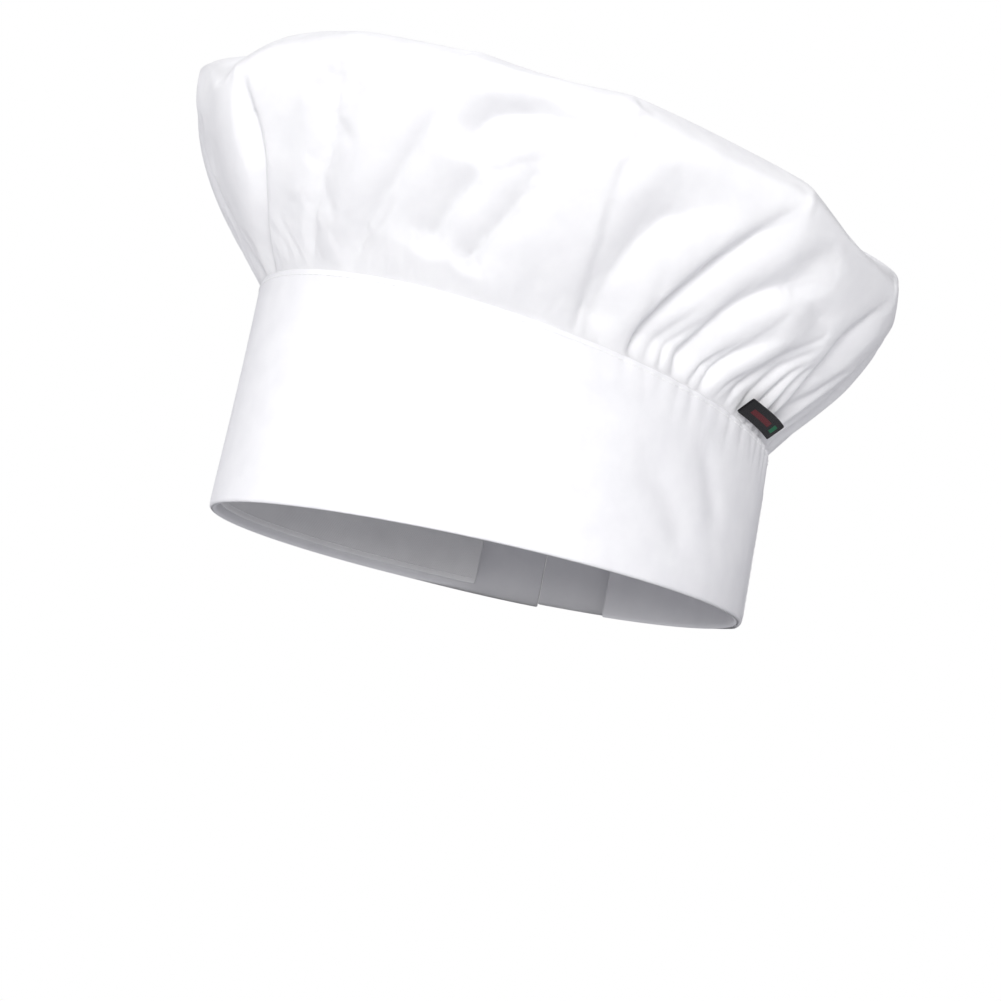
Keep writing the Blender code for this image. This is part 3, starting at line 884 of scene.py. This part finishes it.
def make_sweatband(material, thread):
    angles = np.linspace(-SWEATBAND_END, SWEATBAND_END, 240)

    def profile(turn):
        rows = 14
        heights = np.linspace(3, 34, rows)[:, None] * MM + 0 * turn
        bulge = SWEATBAND_BULGE * np.sin(np.linspace(0, math.pi, rows))[:, None]
        return SWEATBAND_LAYER - bulge + sweatband_waves(turn), heights

    sweatband = strip("sweatband_cloth", angles, profile, material, thickness=0.7 * MM)
    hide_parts("sweatband")
    route = np.linspace(1 - SWEATBAND_END, SWEATBAND_END - 1, 500)
    for name, height, node in (
        ("sweatband_lower_stitches", 5 * MM, "sweatband_lower_stitching"),
        ("sweatband_upper_stitches", 32 * MM, "sweatband_upper_stitching"),
    ):
        depth = SWEATBAND_STITCHES + sweatband_waves(route)
        points = band_place(route, depth, np.full_like(route, height))
        row = stitch_row(name, points, -outward(route), thread)
        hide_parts(node)


# ---- closure

TAB_TIP = 158.0
TAB_ROOT = OVER_END - 0.01
TAB_LOW = 1.0 * MM
TAB_TOP = 55.5 * MM
TAB_CORNER = 8.0 * MM
TAB_FREE = 0.3 * MM  # the cloth's centre line lies this far inside the tab's edges
TAB_EDGE = 1.0 * MM  # the roundness of those edges
TIP_CURL = 2.2 * MM
TIP_CURL_OVER = 2.3  # degrees from the tip
TAPE_LOW = 9.0 * MM
TAPE_HEIGHT = 38.0 * MM


def corner_draw(angles):
    """How far the tab's edges draw in, to round its free corners."""
    speed = math.hypot(HALF_WIDTH * math.cos(rad(TAB_TIP)), HALF_LENGTH * math.sin(rad(TAB_TIP)))
    left = TAB_CORNER - np.minimum(rad(angles - TAB_TIP) * speed, TAB_CORNER)
    return TAB_CORNER - np.sqrt(np.maximum(TAB_CORNER**2 - left**2, 0.0))


def tip_settle(angles):
    """How far the tab's tip, past the end of the tapes, curls in towards the band."""
    return TIP_CURL * (1 - ease((angles - TAB_TIP) / TIP_CURL_OVER))


def make_tab(material, thread, hooks):
    near_tip = TAB_TIP + 7 * np.linspace(0, 1, 16) ** 2
    angles = np.concatenate([near_tip, np.linspace(TAB_TIP + 8, TAB_ROOT, 60)])

    def profile(turn):
        draw = corner_draw(turn)
        low = TAB_LOW + TAB_FREE + draw
        top = TAB_TOP - TAB_FREE - draw
        outer, inner = OUTER_LAYER + TAB_STEP, FACING_LAYER + TAB_STEP
        share = np.linspace(0, 1, 16)[:, None]
        edge = np.array([0.5, 0.85, 0.85, 0.5])[:, None]
        over = np.linspace(outer, inner, 6)[1:-1][:, None]
        up = low + TAB_EDGE + (top - low - 2 * TAB_EDGE) * share
        round_top = top - TAB_EDGE + edge * TAB_EDGE + 0 * turn
        round_low = low + TAB_EDGE - edge * TAB_EDGE + 0 * turn
        depths = [outer + 0 * up, over + 0 * turn, inner + 0 * up, over[::-1] + 0 * turn]
        heights = [up, round_top, up[::-1], round_low]
        depths = np.concatenate(depths + [depths[0][:1]]) - tip_settle(turn)
        heights = np.concatenate(heights + [heights[0][:1]])
        return depths, heights

    tab = strip("closure_tab_cloth", angles, profile, material, "closure_tab")
    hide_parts("tab_cover", "tab_stiffener")

    # The stitches run along the lower edge, up the tip and back along the upper edge.
    margin = 2.2 * MM
    corner_margin = 6.5 * MM
    along_edge = np.linspace(TAB_ROOT - 1, TAB_TIP + 3, 120)
    draw = corner_draw(along_edge)
    depth = TAB_STEP + STITCH_PROUD
    up_tip = np.linspace(TAB_LOW + corner_margin, TAB_TOP - corner_margin, 30)
    route = np.concatenate([along_edge, np.full(30, TAB_TIP + 1.6), along_edge[::-1]])
    heights = np.concatenate([TAB_LOW + margin + draw, up_tip, TAB_TOP - margin - draw[::-1]])
    points = band_place(route, depth - tip_settle(route), heights)
    row = stitch_row("tab_edge_stitches", points, outward(route), thread, "closure_tab")
    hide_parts("tab_stitching")

    box_stitches(
        "hook_tape_stitches", 164.1, 184.8, depth, 1, thread, "closure_tab", "hook_tape_stitching"
    )
    tape("hook_tape_cloth", 160.5, 186.0, 2.3 * MM, 1.0 * MM, hooks, "closure_tab", "hook_tape")


def box_stitches(name, first, last, depth, way, thread, body, node):
    """The box of stitches that holds a tape, where it shows on the far side of the cloth."""
    margin = 2 * MM
    low, high = TAPE_LOW + margin, TAPE_LOW + TAPE_HEIGHT - margin
    across = np.linspace(first, last, 60)
    up = np.linspace(low, high, 30)
    angles = np.concatenate([across, np.full(30, last), across[::-1], np.full(30, first)])
    heights = np.concatenate([np.full(60, low), up, np.full(60, high), up[::-1]])
    points = band_place(angles, depth, heights)
    row = stitch_row(name, points, way * outward(angles), thread, body)
    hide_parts(node)


def tape(name, first, last, depth, thickness, material, body, node):
    """A length of hook or loop tape between two angles."""
    angles = np.linspace(first, last, 60)

    def profile(turn):
        near_low = [0, 0.02, 0.05, 0.06]
        near_top = [0.94, 0.95, 0.98, 1.0]
        share = np.concatenate([near_low, np.linspace(0.1, 0.9, 8), near_top])
        heights = (TAPE_LOW + TAPE_HEIGHT * share)[:, None] + 0 * turn
        return np.full_like(heights, depth), heights

    piece = strip(name, angles, profile, material, body, thickness, levels=0)
    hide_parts(node)


def make_loop_side(loops, thread):
    tape("loop_tape_cloth", 161.0, 203.0, 0.9 * MM, 1.2 * MM, loops, "hat", "loop_tape")
    depth = INNER_FACE - STITCH_PROUD
    box_stitches("loop_tape_stitches", 162.2, 201.8, depth, -1, thread, "hat", "loop_tape_stitching")


def make_slit_binding(material):
    """A narrow strip folded over the crown's edge where it crosses the slit."""
    angles = np.linspace(UNDER_END + 0.5, OVER_END - 0.5, 30)

    def profile(turn):
        top = band_top(turn)
        depths = np.array([-0.3, -0.3, -0.5, -1.3, -2.1, -2.3, -2.3])[:, None] * MM
        drops = np.array([0.3, 2.9, 3.5, 3.7, 3.5, 2.9, 0.3])[:, None] * MM
        return depths + end_step(turn), top - drops

    binding = strip("slit_binding_cloth", angles, profile, material, thickness=0.5 * MM)
    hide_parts("slit_binding")


# The bars of thread at the slit's ends.
BARTACK_DROP = 3.5 * MM  # from the band's upper edge
BARTACK_LENGTH = 9.0 * MM
BARTACK_WIDTH = 1.8 * MM
BARTACK_PROUD = 0.12 * MM


def make_bartacks(thread):
    """Each bar is a dense zigzag of thread."""
    for name, angle, node in (
        ("bartack_stitches_under", UNDER_END - 2.2, "bartack_under_end"),
        ("bartack_stitches_over", OVER_END + 2.2, "bartack_over_end"),
    ):
        turns = 34
        heights = float(band_top(angle)) - BARTACK_DROP - np.linspace(0, BARTACK_LENGTH, turns)
        side = np.where(np.arange(turns) % 2, 0.5, -0.5) * angle_span(angle, BARTACK_WIDTH)
        angles = angle + side
        points = band_place(angles, end_step(np.full(turns, angle)) + BARTACK_PROUD, heights)
        row = stitch_row(name, points, outward(angles), thread, length=1.75, gap=0.05, radius=0.22)
        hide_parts(node)


# ---- labels

SIDE_LABEL_ANGLE = 119.5
SIDE_LABEL_LENGTH = 32.0 * MM
SIDE_LABEL_REACH = 8.0 * MM
SIDE_LABEL_SLOPE = math.radians(42)
SIDE_LABEL_ROOT = 0.9  # mm out from the band's face, and up from its upper edge
CARE_LABEL_ANGLE = 150.0
CARE_LABEL_WIDTH = 22.0 * MM
CARE_LABEL_LENGTH = 40.0 * MM
CARE_LABEL_TOP = 57.0 * MM
CARE_LABEL_CURL = 1.6 * MM


def make_side_label(material):
    """A ribbon folded at its outer end, which leans up against the crown."""
    half = angle_span(SIDE_LABEL_ANGLE, SIDE_LABEL_LENGTH) / 2
    angles = np.linspace(SIDE_LABEL_ANGLE - half, SIDE_LABEL_ANGLE + half, 40)
    along = (angles - angles[0]) / (angles[-1] - angles[0]) * SIDE_LABEL_LENGTH
    # The ribbon's section in mm: out along the lower half, round the fold and back along the upper half.
    reach = np.array([0.2, 2.2, 4.2, 6.0, 7.3, 7.9, 8.05, 7.9, 7.3, 6.0, 4.2, 2.2, 0.2])
    lift = np.array([-0.3, -0.3, -0.3, -0.3, -0.29, -0.2, 0.0, 0.2, 0.29, 0.3, 0.3, 0.3, 0.3])
    lean_out, lean_up = math.cos(SIDE_LABEL_SLOPE), math.sin(SIDE_LABEL_SLOPE)
    rows = []
    flat = []
    for out, up in zip(reach, lift):
        wave = 0.35 * np.sin(rad((angles - SIDE_LABEL_ANGLE) * 14)) * out / 8
        depth = SIDE_LABEL_ROOT + out * lean_out - (up + wave) * lean_up
        rise = SIDE_LABEL_ROOT + out * lean_up + (up + wave) * lean_out
        rows.append(band_place(angles, depth * MM, band_top(angles) + rise * MM))
        across = np.full_like(along, min(out * MM, SIDE_LABEL_REACH))
        flat.append(np.stack([along, across], axis=-1))
    points = np.concatenate(rows)
    faces = grid_faces(len(reach), len(angles))
    uv = np.concatenate(flat)
    label = make_object("side_label_ribbon", points, faces, material, "side_label", uv)
    thicken(label, 0.3 * MM)
    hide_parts("side_label")


def make_care_label(material, thread):
    """A satin label that hangs from its sewn upper edge and curls in a little."""
    half = angle_span(CARE_LABEL_ANGLE, CARE_LABEL_WIDTH) / 2
    angles = np.linspace(CARE_LABEL_ANGLE - half, CARE_LABEL_ANGLE + half, 30)

    def profile(turn):
        down = np.linspace(0, CARE_LABEL_LENGTH, 24)[:, None]
        curl = CARE_LABEL_CURL * (down / CARE_LABEL_LENGTH) ** 2
        curl = curl + 0.25 * MM * np.sin(down / (4.5 * MM))
        return -3.75 * MM - curl + 0 * turn, CARE_LABEL_TOP - down + 0 * turn

    label = strip("care_label_satin", angles, profile, material, "care_label", 0.25 * MM)
    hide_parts("care_label")
    route = np.linspace(angles[0] + 0.5, angles[-1] - 0.5, 40)
    points = band_place(route, -3.95 * MM, np.full(40, CARE_LABEL_TOP - 2 * MM))
    row = stitch_row("care_label_stitches", points, -outward(route), thread, "care_label")
    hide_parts("care_label_stitching")


# ---- studio

SKY_COLOUR = (0.95, 0.945, 1.0, 1.0)
SKY_STRENGTH = 0.5
SEEN_COLOUR = (1.0, 1.0, 1.0, 1.0)
LIGHT_DISTANCE = 1.6
LIGHT_AIM = Vector((0, 0, 0.1))
KEY_COLOUR = (1.0, 0.995, 0.98)
FLOOR_REACH = 120.0  # times the size of the band's opening


def stage_mesh(name, points, faces):
    mesh = bpy.data.meshes.new(name)
    mesh.from_pydata(points.tolist(), [], faces)
    obj = bpy.data.objects.new(name, mesh)
    bpy.context.scene.collection.objects.link(obj)
    return obj


def make_world():
    """A soft sky that lights the hat, behind which the camera sees plain white."""
    world = bpy.data.worlds.new("studio")
    bpy.context.scene.world = world
    world.use_nodes = True
    tree = world.node_tree
    background = tree.nodes["Background"]
    background.inputs["Color"].default_value = SKY_COLOUR
    background.inputs["Strength"].default_value = SKY_STRENGTH
    seen = tree.nodes.new("ShaderNodeBackground")
    seen.inputs["Color"].default_value = SEEN_COLOUR
    seen.inputs["Strength"].default_value = 1.0
    path = tree.nodes.new("ShaderNodeLightPath")
    choose = tree.nodes.new("ShaderNodeMixShader")
    tree.links.new(path.outputs["Is Camera Ray"], choose.inputs["Fac"])
    tree.links.new(background.outputs[0], choose.inputs[1])
    tree.links.new(seen.outputs[0], choose.inputs[2])
    tree.links.new(choose.outputs[0], tree.nodes["World Output"].inputs["Surface"])


def light(name, kind, azimuth, elevation, power, colour=(1.0, 1.0, 1.0)):
    """A light that looks at the hat from this azimuth and elevation, in degrees."""
    back = direction_to(math.radians(azimuth), math.radians(elevation))
    data = bpy.data.lights.new(name, kind)
    data.energy = power
    data.color = colour
    lamp = bpy.data.objects.new(name, data)
    bpy.context.scene.collection.objects.link(lamp)
    lamp.location = LIGHT_AIM + back * LIGHT_DISTANCE
    lamp.rotation_mode = "QUATERNION"
    lamp.rotation_quaternion = (-back).to_track_quat("-Z", "Y")
    return data


def make_lights():
    key = light("key", "SUN", azimuth=46, elevation=5, power=2.55, colour=KEY_COLOUR)
    key.angle = math.radians(20)
    top = light("top", "AREA", azimuth=15, elevation=55, power=9.0)
    top.size = 1.0


def make_floor():
    """A floor that is seen and lit from above only, because the camera is below its level."""
    sides = 96
    angles = np.linspace(0, 360, sides, endpoint=False)
    under_rim = band_place(angles, CROWN_LAYER, np.full(sides, -0.05 * MM))
    far = under_rim * np.array([FLOOR_REACH, FLOOR_REACH, 1.0])
    around = []
    for i in range(sides):
        j = (i + 1) % sides
        around.append((i, i + sides, j + sides, j))
    floor = stage_mesh("floor", np.vstack([under_rim, far]), around)
    # The floor inside the hat is seen but stops no light, so the studio's light reaches in from below.
    floor_inside = stage_mesh("floor_inside", under_rim, [tuple(range(sides))])
    floor_inside.visible_diffuse = False
    floor_inside.visible_glossy = False
    floor_inside.visible_shadow = False
    material, tree, shader = new_material("floor", FLOOR_COLOUR, roughness=0.7)
    clear = tree.nodes.new("ShaderNodeBsdfTransparent")
    mix = tree.nodes.new("ShaderNodeMixShader")
    geometry = tree.nodes.new("ShaderNodeNewGeometry")
    tree.links.new(geometry.outputs["Backfacing"], mix.inputs["Fac"])
    tree.links.new(shader.outputs[0], mix.inputs[1])
    tree.links.new(clear.outputs[0], mix.inputs[2])
    tree.links.new(mix.outputs[0], tree.nodes["Material Output"].inputs["Surface"])
    for piece in (floor, floor_inside):
        piece.data.materials.append(material)


def main():
    make_camera()
    bpy.context.scene.view_settings.view_transform = "Standard"
    crown_cloth = cloth_material("crown_cotton", CROWN_DARK, CROWN_LIGHT, 0.5 * MM, True, 0.35 * MM)
    band_cloth = cloth_material("band_cotton", BAND_DARK, BAND_LIGHT, 0.5 * MM, True, 0.12 * MM)
    soft_cloth = cloth_material("sweatband_cotton", SWEATBAND_DARK, SWEATBAND_LIGHT, 0.9 * MM)
    satin = cloth_material("label_satin", SATIN_DARK, SATIN_LIGHT, 0.3 * MM)
    thread = cloth_material("thread", THREAD_DARK, THREAD_LIGHT, 0.25 * MM)
    loops = nylon_material("loop_nylon", LOOP_COLOUR, 900.0, 0.5 * MM)
    hooks = nylon_material("hook_nylon", HOOK_COLOUR, 700.0, 0.7 * MM)
    make_crown(crown_cloth)
    make_band(band_cloth, thread)
    make_sweatband(soft_cloth, thread)
    make_tab(band_cloth, thread, hooks)
    make_loop_side(loops, thread)
    make_slit_binding(band_cloth)
    make_bartacks(thread)
    make_side_label(label_material("label_ribbon"))
    make_care_label(satin, thread)
    make_world()
    make_lights()
    make_floor()
    for obj in list(bpy.context.scene.objects):
        if "rides_on" in obj:
            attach(obj, obj["rides_on"])


main()
